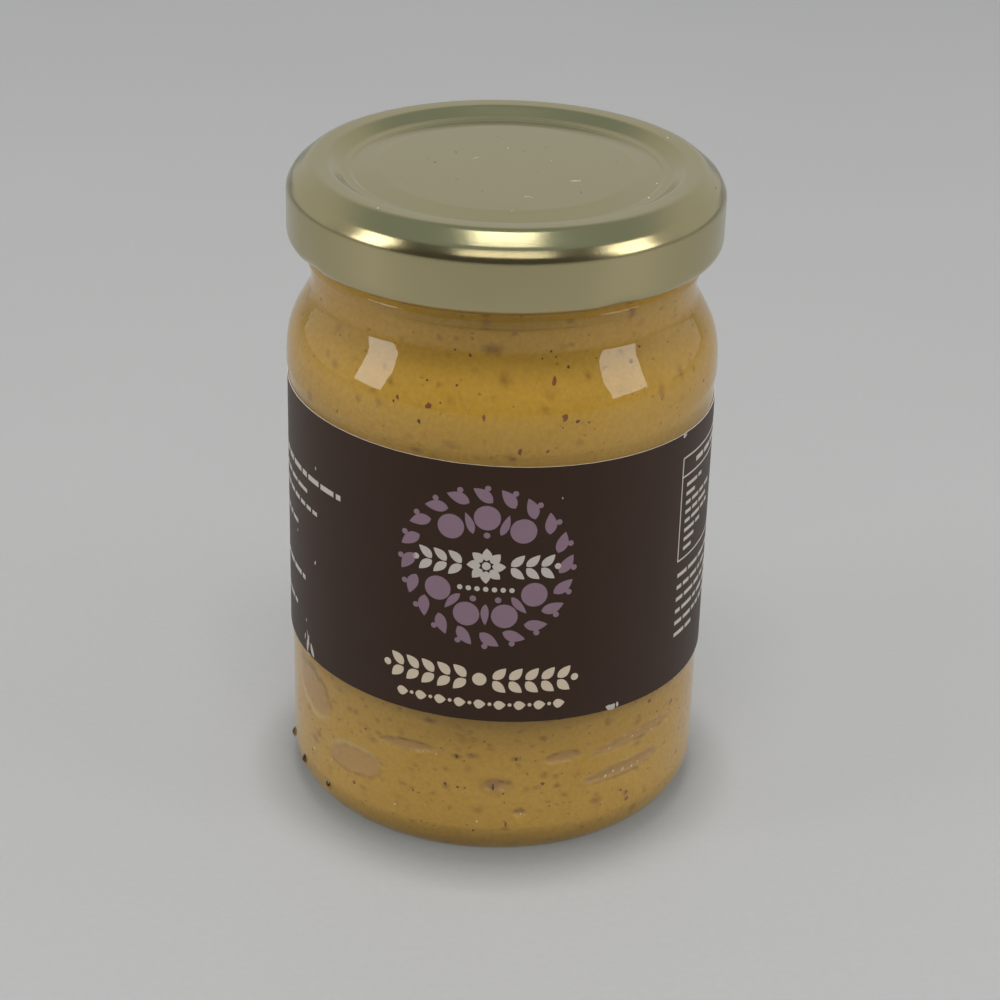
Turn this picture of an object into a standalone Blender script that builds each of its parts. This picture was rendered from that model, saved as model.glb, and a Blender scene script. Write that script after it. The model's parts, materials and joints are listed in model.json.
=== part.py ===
# Shut glass jar of mustard with a twist-off lid and a wrap-around paper label
# Stands on its base at z = 0 with its axis on Z. Its front faces -Y.
# Lengths are in millimetres here and become metres as the meshes are made.

import math

import bmesh
import bpy
from mathutils import Vector

MM = 0.001
SIDES = 64
MERGE = 0.001
CHORD_ERROR = 0.1

# Glass jar, outside
BODY_R = 30.55
PANEL_R = 30.35
PANEL_BOTTOM = 21.6
PANEL_TOP = 66.4
SHOULDER_R = 31.0
SHOULDER_TURN_R = 30.85
SHOULDER_TURN_Z = 72.0
NECK_R = 27.3
NECK_START_Z = 78.3
BEAD_R = 28.0
BEAD_BOTTOM = 82.1
BEAD_TOP = 83.7
RIM_Z = 95.6
HEEL_ROUND = 5.0

# Inner edge of the ring that the jar rests on, and the hollow inside it
REST_R = 19.6
PUSH_UP = 1.3
PUSH_UP_R = 16.5

# Glass jar, inside
BORE_R = 28.0
NECK_BORE_R = 24.6
FLOOR_Z = 2.9
FLOOR_CROWN = 0.7
INNER_HEEL_ROUND = 4.6

# Raised mould marks on the heel, by angle from the front
MARK_ANGLES = (-82.0, -67.0, -52.0, -27.0, -3.5, 7.0)
MARK_Z = 4.7
MARK_RADIUS = 0.85
MARK_SINK = 0.35

# Twist-off lid
LID_R = 30.7
LID_BOTTOM = 84.95
LID_THICK = 0.3
PLATEAU_R = 17.9
PLATEAU_Z = 95.3
RING_R = 21.5
RING_DROP = 0.4
RING_STEP = 0.15
GROOVE_R = 23.6
CROWN_Z = 96.3
CROWN_INNER_R = 24.85
CROWN_OUTER_R = 26.7
SLOPE_R = 28.4
SLOPE_Z = 95.13
LID_SHOULDER_Z = 93.1
CURL_R = 29.2
CURL_ROUND = 1.2
LUG_COUNT = 4
LUG_FIRST = 31.0
LUG_HALF_ANGLE = 8.0
LUG_PRESS = 0.45

# Label, lower towards +X by its skew
LABEL_R = 30.9
LABEL_THICK = 0.25
LABEL_BOTTOM = 24.0
LABEL_TOP = 63.85
LABEL_SKEW = 0.030
LABEL_GAP = 4.0

# Mustard
FIT_GAP = 0.3
FILL_Z = 89.5
FILL_DISH = 1.2
ROW_STEP = 0.95

# Pockets against the glass: angle, height, half width and half height in mm, slope in degrees, depth
POCKETS = (
    (-25.0, 17.0, 4.6, 1.3, 4.0, 1.1),
    (-43.5, 10.6, 5.4, 3.0, 8.0, 0.9),
    (-66.0, 16.4, 6.6, 4.2, -14.0, 0.7),
    (20.5, 16.7, 2.9, 1.2, 4.0, 1.0),
    (45.0, 16.2, 8.2, 1.3, 3.0, 1.1),
    (41.0, 11.5, 7.9, 2.0, 2.0, 1.2),
    (1.7, 12.3, 1.9, 1.3, 0.0, 0.8),
    (138.0, 14.0, 7.0, 1.6, -6.0, 1.0),
    (-158.0, 13.0, 5.0, 2.2, 9.0, 0.9),
)


def clear_scene():
    for item in list(bpy.data.objects):
        bpy.data.objects.remove(item, do_unlink=True)


def material(name, colour, roughness, metallic=0.0, alpha=1.0):
    mat = bpy.data.materials.new(name)
    mat.use_nodes = True
    shader = mat.node_tree.nodes["Principled BSDF"]
    shader.inputs["Base Color"].default_value = (*colour, 1.0)
    shader.inputs["Roughness"].default_value = roughness
    shader.inputs["Metallic"].default_value = metallic
    shader.inputs["Alpha"].default_value = alpha
    return mat


def arc(corner, before, after, radius, chord_error):
    """Points of a round of the given radius that replaces a corner."""
    a = (before - corner).normalized()
    b = (after - corner).normalized()
    half = a.angle(b) / 2.0
    centre = corner + (a + b).normalized() * (radius / math.sin(half))
    start = corner + a * (radius / math.tan(half)) - centre
    end = corner + b * (radius / math.tan(half)) - centre
    turn = math.pi - 2.0 * half
    step = 2.0 * math.acos(1.0 - chord_error / radius)
    steps = math.ceil(turn / step)
    points = []
    for i in range(steps + 1):
        share = i / steps
        mix = start * math.sin((1.0 - share) * turn) + end * math.sin(share * turn)
        points.append(centre + mix / math.sin(turn))
    return points


def outline(corners, chord_error=CHORD_ERROR):
    """Profile through (radius, height, round) corners, with each round drawn as an arc."""
    places = [Vector(c[:2]) for c in corners]
    points = []
    for i, corner in enumerate(corners):
        if len(corner) == 3:
            points.extend(arc(places[i], places[i - 1], places[i + 1], corner[2], chord_error))
        else:
            points.append(places[i])
    return points


def turned(name, points, mat, closed=False, sweep=360.0, start=0.0):
    """Object made by turning a profile round Z, from an angle measured from the front."""
    bm = bmesh.new()
    lead = math.radians(start)
    ring = [bm.verts.new((p.x * math.sin(lead), -p.x * math.cos(lead), p.y)) for p in points]
    pairs = list(zip(ring, ring[1:]))
    if closed:
        pairs.append((ring[-1], ring[0]))
    edges = [bm.edges.new(pair) for pair in pairs]
    steps = round(SIDES * sweep / 360.0)
    bmesh.ops.spin(bm, geom=ring + edges, cent=(0, 0, 0), axis=(0, 0, 1),
                   steps=steps, angle=math.radians(sweep))
    bmesh.ops.remove_doubles(bm, verts=bm.verts, dist=MERGE)
    bmesh.ops.dissolve_degenerate(bm, dist=MERGE, edges=bm.edges)
    bmesh.ops.holes_fill(bm, edges=bm.edges, sides=len(points))
    bmesh.ops.recalc_face_normals(bm, faces=bm.faces)
    return finished(name, bm, mat)


def finished(name, bm, mat):
    """Linked, smooth-shaded object from a mesh held in millimetres."""
    bmesh.ops.scale(bm, vec=(MM, MM, MM), verts=bm.verts)
    mesh = bpy.data.meshes.new(name)
    bm.to_mesh(mesh)
    bm.free()
    mesh.materials.append(mat)
    mesh.shade_smooth()
    mesh.set_sharp_from_angle(angle=math.radians(35.0))
    item = bpy.data.objects.new(name, mesh)
    bpy.context.collection.objects.link(item)
    return item


def front_angle(point):
    return math.degrees(math.atan2(point.x, -point.y))


def angle_between(a, b):
    return (a - b + 180.0) % 360.0 - 180.0


def heel_radius(z):
    drop = HEEL_ROUND - z
    return BODY_R - HEEL_ROUND + math.sqrt(HEEL_ROUND ** 2 - drop ** 2)


def heel_mark(angle):
    """Small ball that stands out of the heel as a raised mould mark."""
    turn = math.radians(angle)
    reach = heel_radius(MARK_Z) - MARK_SINK
    bpy.ops.mesh.primitive_ico_sphere_add(
        subdivisions=2, radius=MARK_RADIUS * MM,
        location=(reach * math.sin(turn) * MM, -reach * math.cos(turn) * MM, MARK_Z * MM))
    return bpy.context.object


def join_marks(jar, marks):
    """Fuse the marks with the jar, so that the glass is one solid."""
    group = bpy.data.collections.new("mould_marks")
    bpy.context.scene.collection.children.link(group)
    for mark in marks:
        for home in list(mark.users_collection):
            home.objects.unlink(mark)
        group.objects.link(mark)
    fuse = jar.modifiers.new("fuse_marks", "BOOLEAN")
    fuse.operation = "UNION"
    fuse.operand_type = "COLLECTION"
    fuse.collection = group
    bpy.context.view_layer.objects.active = jar
    bpy.ops.object.modifier_apply(modifier=fuse.name)
    for mark in marks:
        bpy.data.objects.remove(mark, do_unlink=True)
    bpy.data.collections.remove(group)


def build_glass():
    """Hollow jar: rest ring, heel, recessed label panel, shoulder, neck bead and rim."""
    glass = material("clear_glass", (0.93, 0.95, 0.93), 0.04, alpha=0.35)
    points = outline((
        (0.0, PUSH_UP),
        (PUSH_UP_R, PUSH_UP, 4.0),
        (REST_R, 0.0, 1.0),
        (BODY_R, 0.0, HEEL_ROUND),
        (BODY_R, PANEL_BOTTOM),
        (PANEL_R, PANEL_BOTTOM + 0.8),
        (PANEL_R, PANEL_TOP - 0.5),
        (SHOULDER_R, PANEL_TOP + 0.6),
        (SHOULDER_TURN_R, SHOULDER_TURN_Z, 12.0),
        (NECK_R, NECK_START_Z, 5.0),
        (NECK_R, BEAD_BOTTOM),
        (BEAD_R, BEAD_BOTTOM + 0.3),
        (BEAD_R, BEAD_TOP, 0.5),
        (NECK_R, BEAD_TOP + 0.2),
        (NECK_R, RIM_Z, 1.2),
        (NECK_BORE_R, RIM_Z, 1.2),
        (NECK_BORE_R, NECK_START_Z - 0.6, 5.0),
        (BORE_R, SHOULDER_TURN_Z - 0.8, 12.0),
        (BORE_R, FLOOR_Z, INNER_HEEL_ROUND),
        (0.0, FLOOR_Z + FLOOR_CROWN),
    ))
    jar = turned("jar_glass", points, glass)
    join_marks(jar, [heel_mark(angle) for angle in MARK_ANGLES])


def build_lid():
    """Pressed tinplate cap: plateau, fine ring, groove, raised crown, skirt and curled edge."""
    tinplate = material("gold_tinplate", (0.42, 0.37, 0.22), 0.38, metallic=1.0)
    groove_z = PLATEAU_Z - RING_DROP + RING_STEP
    outer = (
        (0.0, PLATEAU_Z),
        (PLATEAU_R, PLATEAU_Z, 1.5),
        (RING_R, PLATEAU_Z - RING_DROP),
        (RING_R + 0.7, groove_z),
        (GROOVE_R, groove_z, 0.6),
        (CROWN_INNER_R, CROWN_Z, 0.8),
        (CROWN_OUTER_R, CROWN_Z, 1.3),
        (SLOPE_R, SLOPE_Z),
        (LID_R, LID_SHOULDER_Z, 2.2),
        (LID_R, LID_BOTTOM, CURL_ROUND),
        (CURL_R, LID_BOTTOM, 0.5),
    )
    inner_r = LID_R - LID_THICK
    inner = (
        (CURL_R - 0.2, LID_BOTTOM + 1.1),
        (inner_r, LID_BOTTOM + CURL_ROUND + 1.2),
        (inner_r, LID_SHOULDER_Z - 0.8),
        (SLOPE_R - 0.2, SLOPE_Z - LID_THICK),
        (CROWN_OUTER_R - 0.1, CROWN_Z - LID_THICK),
        (CROWN_INNER_R + 0.2, CROWN_Z - LID_THICK),
        (GROOVE_R + 0.1, groove_z - LID_THICK),
        (RING_R, PLATEAU_Z - RING_DROP - LID_THICK),
        (PLATEAU_R, PLATEAU_Z - LID_THICK),
        (0.0, PLATEAU_Z - LID_THICK),
    )
    lid = turned("lid", outline((*outer, *inner)), tinplate)
    press_lugs(lid)


def press_lugs(lid):
    """Bend the curled edge inwards at the lugs that grip the thread."""
    reach = 2.6 * MM
    top = (LID_BOTTOM + 2.6) * MM
    for vert in lid.data.vertices:
        depth = max(0.0, top - vert.co.z) / reach
        for i in range(LUG_COUNT):
            centre = LUG_FIRST + i * 360.0 / LUG_COUNT
            off = angle_between(front_angle(vert.co), centre) / LUG_HALF_ANGLE
            if abs(off) < 1.0:
                radius = math.hypot(vert.co.x, vert.co.y)
                press = LUG_PRESS * MM * depth * (0.5 + 0.5 * math.cos(math.pi * off))
                vert.co.x -= vert.co.x / radius * press
                vert.co.y -= vert.co.y / radius * press


def build_label():
    """Thin sleeve of paper, open at the back where its two ends stop short of each other."""
    paper = material("printed_paper", (0.045, 0.026, 0.022), 0.55)
    inner = LABEL_R - LABEL_THICK
    half_gap = math.degrees(LABEL_GAP / 2.0 / LABEL_R)
    section = [Vector(p) for p in (
        (inner, LABEL_BOTTOM), (LABEL_R, LABEL_BOTTOM), (LABEL_R, LABEL_TOP), (inner, LABEL_TOP))]
    label = turned("label", section, paper, closed=True,
                   sweep=360.0 - 2.0 * half_gap, start=180.0 + half_gap)
    for vert in label.data.vertices:
        vert.co.z -= LABEL_SKEW * vert.co.x


def pocket_depth(angle, z):
    """How far the mustard stands back from the glass at one spot, in millimetres."""
    depth = 0.0
    for spot, height, half_width, half_height, slope, deep in POCKETS:
        along = math.radians(angle_between(angle, spot)) * BORE_R
        up = z - height
        tilt = math.radians(slope)
        u = (along * math.cos(tilt) + up * math.sin(tilt)) / half_width
        v = (up * math.cos(tilt) - along * math.sin(tilt)) / half_height
        depth = max(depth, deep * max(0.0, 1.0 - u * u - v * v))
    return depth


def wall_heights():
    """Close rows over the pockets near the base, wide rows behind the label."""
    rows = []
    z = FLOOR_Z + INNER_HEEL_ROUND + 0.6
    while z < PANEL_BOTTOM:
        rows.append(z)
        z += ROW_STEP
    return rows


def build_mustard():
    """Mustard that fills the jar into the neck, with pockets where it leaves the glass."""
    filling = material("grain_mustard", (0.42, 0.24, 0.045), 0.45)
    bore = BORE_R - FIT_GAP
    neck = NECK_BORE_R - FIT_GAP
    bottom = FLOOR_Z + FIT_GAP
    points = outline((
        (0.0, bottom + FLOOR_CROWN),
        (bore, bottom, INNER_HEEL_ROUND - FIT_GAP),
        *((bore, z) for z in wall_heights()),
        (bore, SHOULDER_TURN_Z - 0.95, 12.0),
        (neck, NECK_START_Z - 0.75, 5.0),
        (neck, FILL_Z),
        (neck * 0.6, FILL_Z - FILL_DISH * 0.6),
        (0.0, FILL_Z - FILL_DISH),
    ), chord_error=CHORD_ERROR / 2.0)
    mustard = turned("mustard", points, filling)
    for vert in mustard.data.vertices:
        radius = math.hypot(vert.co.x, vert.co.y)
        if radius < 0.7 * bore * MM or vert.co.z > PANEL_BOTTOM * MM:
            continue
        inward = pocket_depth(front_angle(vert.co), vert.co.z / MM) * MM / radius
        vert.co.x -= vert.co.x * inward
        vert.co.y -= vert.co.y * inward


clear_scene()
build_glass()
build_lid()
build_label()
build_mustard()
print("built", sorted(item.name for item in bpy.data.objects))
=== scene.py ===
import json
import math
import random

import bmesh
import bpy
from mathutils import Matrix, Vector, noise

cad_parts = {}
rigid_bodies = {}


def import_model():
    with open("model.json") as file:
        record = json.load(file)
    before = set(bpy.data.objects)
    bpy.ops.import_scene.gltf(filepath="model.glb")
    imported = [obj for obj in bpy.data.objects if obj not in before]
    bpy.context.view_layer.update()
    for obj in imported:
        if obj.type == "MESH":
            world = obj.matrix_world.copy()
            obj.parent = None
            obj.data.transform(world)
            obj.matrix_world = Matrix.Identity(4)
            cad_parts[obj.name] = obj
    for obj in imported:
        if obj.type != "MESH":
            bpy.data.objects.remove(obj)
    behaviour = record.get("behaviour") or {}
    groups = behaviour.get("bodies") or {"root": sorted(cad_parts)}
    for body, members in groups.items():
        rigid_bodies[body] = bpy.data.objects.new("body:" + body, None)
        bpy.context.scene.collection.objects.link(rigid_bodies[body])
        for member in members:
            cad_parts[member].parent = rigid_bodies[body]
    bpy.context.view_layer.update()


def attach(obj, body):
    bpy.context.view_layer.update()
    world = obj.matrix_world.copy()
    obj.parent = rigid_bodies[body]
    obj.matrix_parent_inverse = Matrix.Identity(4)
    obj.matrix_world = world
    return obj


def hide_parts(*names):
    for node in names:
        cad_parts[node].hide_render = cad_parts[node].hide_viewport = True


# Shut jar of wholegrain mustard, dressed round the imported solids.
# Lengths are typed in millimetres and become metres in the helpers.

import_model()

mm = 0.001


# Helpers shared by every piece

def hexColour(code):
    channels = []
    for start in (1, 3, 5):
        share = int(code[start:start + 2], 16) / 255
        channels.append(share / 12.92 if share <= 0.04045 else ((share + 0.055) / 1.055) ** 2.4)
    return (*channels, 1.0)


def addNode(tree, kind, values=None, links=None, **settings):
    node = tree.nodes.new(kind)
    for key, value in settings.items():
        setattr(node, key, value)
    for key, value in (values or {}).items():
        node.inputs[key].default_value = value
    for key, source in (links or {}).items():
        tree.links.new(source, node.inputs[key])
    return node


def newMaterial(name):
    material = bpy.data.materials.new(name)
    material.use_nodes = True
    material.node_tree.nodes.clear()
    return material, material.node_tree


def linked(name, mesh):
    piece = bpy.data.objects.new(name, mesh)
    bpy.context.scene.collection.objects.link(piece)
    return piece


def arcPoints(corner, before, after, radius, stepDegrees):
    # points of the round that takes a corner's place
    a = (before - corner).normalized()
    b = (after - corner).normalized()
    half = a.angle(b) / 2
    centre = corner + (a + b).normalized() * (radius / math.sin(half))
    start = corner + a * (radius / math.tan(half)) - centre
    end = corner + b * (radius / math.tan(half)) - centre
    turn = math.pi - 2 * half
    steps = max(2, math.ceil(math.degrees(turn) / stepDegrees))
    points = []
    for i in range(steps + 1):
        share = i / steps
        mixed = start * math.sin((1 - share) * turn) + end * math.sin(share * turn)
        points.append(centre + mixed / math.sin(turn))
    return points


def profileLine(corners, stepDegrees=7.0):
    # (radius, height, round) corners to points
    places = [Vector(c[:2]) for c in corners]
    points = []
    for i, corner in enumerate(corners):
        if len(corner) == 3:
            points += arcPoints(places[i], places[i - 1], places[i + 1], corner[2], stepDegrees)
        else:
            points.append(places[i])
    return points


def spacedLine(points, gapAt):
    # walks each straight with the step that gapAt(height) asks for there
    dense = [points[0]]
    for last, point in zip(points, points[1:]):
        length = (point - last).length
        gone = gapAt(last.y)
        while gone < length * 0.98:
            dense.append(last.lerp(point, gone / length))
            gone += gapAt(dense[-1].y)
        dense.append(point)
    return dense


def setInput(modifier, tree, name, value):
    for item in tree.interface.items_tree:
        if item.item_type == "SOCKET" and item.in_out == "INPUT" and item.name == name:
            modifier[item.identifier] = value


def newTree(name, inputs):
    tree = bpy.data.node_groups.new(name, "GeometryNodeTree")
    tree.interface.new_socket("Geometry", in_out="INPUT", socket_type="NodeSocketGeometry")
    for label, kind in inputs:
        tree.interface.new_socket(label, in_out="INPUT", socket_type=kind)
    tree.interface.new_socket("Geometry", in_out="OUTPUT", socket_type="NodeSocketGeometry")
    return tree, addNode(tree, "NodeGroupInput").outputs


def closeTree(tree, geometry, material):
    real = addNode(tree, "GeometryNodeRealizeInstances", links={0: geometry})
    painted = addNode(tree, "GeometryNodeSetMaterial",
                      links={"Geometry": real.outputs[0], "Material": material})
    addNode(tree, "NodeGroupOutput", links={0: painted.outputs[0]})


def runTree(name, startMesh, tree, values):
    # evaluates a node tree on a mesh and keeps the result as a plain mesh
    holder = linked(name + "Source", startMesh)
    modifier = holder.modifiers.new("build", "NODES")
    modifier.node_group = tree
    for key, value in values.items():
        setInput(modifier, tree, key, value)
    graph = bpy.context.evaluated_depsgraph_get()
    made = bpy.data.meshes.new_from_object(holder.evaluated_get(graph))
    made.name = name
    bpy.data.objects.remove(holder)
    return made


def angleBetween(a, b):
    return (a - b + 180) % 360 - 180


def frontAngle(point):
    return math.degrees(math.atan2(point.x, -point.y))


def dress(piece, slotName, *nodes):
    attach(piece, "root")
    if nodes:
        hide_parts(*nodes)
    return piece


def smooth(mesh, sharpDegrees=40.0):
    mesh.shade_smooth()
    mesh.set_sharp_from_angle(angle=math.radians(sharpDegrees))


# Lathe: a profile drawn as a line of vertices is swept round a circle

def buildLatheTree():
    tree, given = newTree("turnedProfile", (
        ("Sides", "NodeSocketInt"),
        ("Axis Radius", "NodeSocketFloat"),
        ("Merge", "NodeSocketFloat"),
        ("Material", "NodeSocketMaterial"),
    ))
    line = addNode(tree, "GeometryNodeMeshToCurve", links={0: given["Geometry"]})
    ring = addNode(tree, "GeometryNodeCurvePrimitiveCircle",
                   links={"Resolution": given["Sides"], "Radius": given["Axis Radius"]})
    swept = addNode(tree, "GeometryNodeCurveToMesh",
                    links={"Curve": ring.outputs[0], "Profile Curve": line.outputs[0]})
    merged = addNode(tree, "GeometryNodeMergeByDistance",
                     links={"Geometry": swept.outputs[0], "Distance": given["Merge"]})
    closeTree(tree, merged.outputs[0], given["Material"])
    return tree


latheTree = buildLatheTree()
axisRadius = 1.0  # the sweep circle's own radius, taken off every profile radius


def turnedMesh(name, points, sides, material, closed=False):
    # points run outwards over the top and down, so that faces look out
    line = bpy.data.meshes.new(name + "Line")
    spots = [((p.x - axisRadius) * mm, -p.y * mm, 0) for p in points]
    pairs = [(i, i + 1) for i in range(len(points) - 1)]
    if closed:
        pairs.append((len(points) - 1, 0))
    line.from_pydata(spots, pairs, [])
    mesh = runTree(name, line, latheTree, {
        "Sides": sides, "Axis Radius": axisRadius * mm, "Merge": 0.0005 * mm, "Material": material})
    checked = bmesh.new()
    checked.from_mesh(mesh)
    bmesh.ops.dissolve_degenerate(checked, dist=0.0002 * mm, edges=checked.edges)
    bmesh.ops.recalc_face_normals(checked, faces=checked.faces)
    checked.to_mesh(mesh)
    checked.free()
    return mesh


# Materials

def glassMaterial():
    # Soda-lime container glass, blown in a mould: clear with a hint of green,
    # fire-polished, with the slow ripple that bends the edges of a lamp's reflection.
    material, tree = newMaterial("sodaLimeGlassBlown")
    place = addNode(tree, "ShaderNodeTexCoord").outputs["Object"]
    ripple = addNode(tree, "ShaderNodeTexNoise", {"Scale": 260.0, "Detail": 2.0, "Roughness": 0.4},
                     {"Vector": place})
    slow = addNode(tree, "ShaderNodeTexNoise", {"Scale": 60.0, "Detail": 1.0}, {"Vector": place})
    mixed = addNode(tree, "ShaderNodeMath", links={0: ripple.outputs[0], 1: slow.outputs[0]},
                    operation="ADD")
    bump = addNode(tree, "ShaderNodeBump", {"Strength": 0.10, "Distance": 0.00035},
                   {"Height": mixed.outputs[0]})
    smears = addNode(tree, "ShaderNodeTexNoise", {"Scale": 90.0, "Detail": 4.0}, {"Vector": place})
    rough = addNode(tree, "ShaderNodeMapRange",
                    {"From Min": 0.35, "From Max": 0.75, "To Min": 0.01, "To Max": 0.05},
                    {"Value": smears.outputs[0]})
    clear = addNode(tree, "ShaderNodeBsdfPrincipled",
                    {"Base Color": hexColour("#fbfefb"), "IOR": 1.52, "Transmission Weight": 1.0},
                    {"Roughness": rough.outputs[0], "Normal": bump.outputs[0]})
    # lamps reach the mustard straight through the wall, which keeps the filling free of noise
    through = addNode(tree, "ShaderNodeBsdfTransparent", {"Color": (0.93, 0.94, 0.92, 1.0)})
    path = addNode(tree, "ShaderNodeLightPath")
    either = addNode(tree, "ShaderNodeMath",
                     links={0: path.outputs["Is Shadow Ray"], 1: path.outputs["Is Diffuse Ray"]},
                     operation="MAXIMUM")
    both = addNode(tree, "ShaderNodeMixShader",
                   links={0: either.outputs[0], 1: clear.outputs[0], 2: through.outputs[0]})
    addNode(tree, "ShaderNodeOutputMaterial", links={"Surface": both.outputs[0]})
    return material


def tinplateMaterial():
    # Tinplate under a gold lacquer, rolled then pressed: a pale brassy metal with a soft
    # satin reflection, drawn out a little along the rolling grain, and a few dull smears.
    material, tree = newMaterial("goldLacqueredTinplate")
    place = addNode(tree, "ShaderNodeTexCoord").outputs["Object"]
    along = addNode(tree, "ShaderNodeMapping", {"Scale": (0.06, 1.0, 1.0)}, {"Vector": place})
    grain = addNode(tree, "ShaderNodeTexNoise", {"Scale": 5200.0, "Detail": 2.0},
                    {"Vector": along.outputs[0]})
    peel = addNode(tree, "ShaderNodeTexNoise", {"Scale": 900.0, "Detail": 2.0}, {"Vector": place})
    cloud = addNode(tree, "ShaderNodeTexNoise", {"Scale": 55.0, "Detail": 4.0, "Roughness": 0.6},
                    {"Vector": place})
    tone = addNode(tree, "ShaderNodeMix", {6: hexColour("#b2a880"), 7: hexColour("#bdb28a")},
                   {0: cloud.outputs[0]}, data_type="RGBA")
    fine = addNode(tree, "ShaderNodeMath", {2: 0.3}, {0: grain.outputs[0], 1: peel.outputs[0]},
                   operation="ADD")
    rough = addNode(tree, "ShaderNodeMapRange",
                    {"From Min": 0.3, "From Max": 0.7, "To Min": 0.17, "To Max": 0.24},
                    {"Value": cloud.outputs[0]})
    bump = addNode(tree, "ShaderNodeBump", {"Strength": 0.12, "Distance": 0.00004},
                   {"Height": fine.outputs[0]})
    shader = addNode(tree, "ShaderNodeBsdfPrincipled", {"Metallic": 1.0},
                     {"Base Color": tone.outputs[2], "Roughness": rough.outputs[0],
                      "Normal": bump.outputs[0]})
    addNode(tree, "ShaderNodeOutputMaterial", links={"Surface": shader.outputs[0]})
    return material


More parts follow.
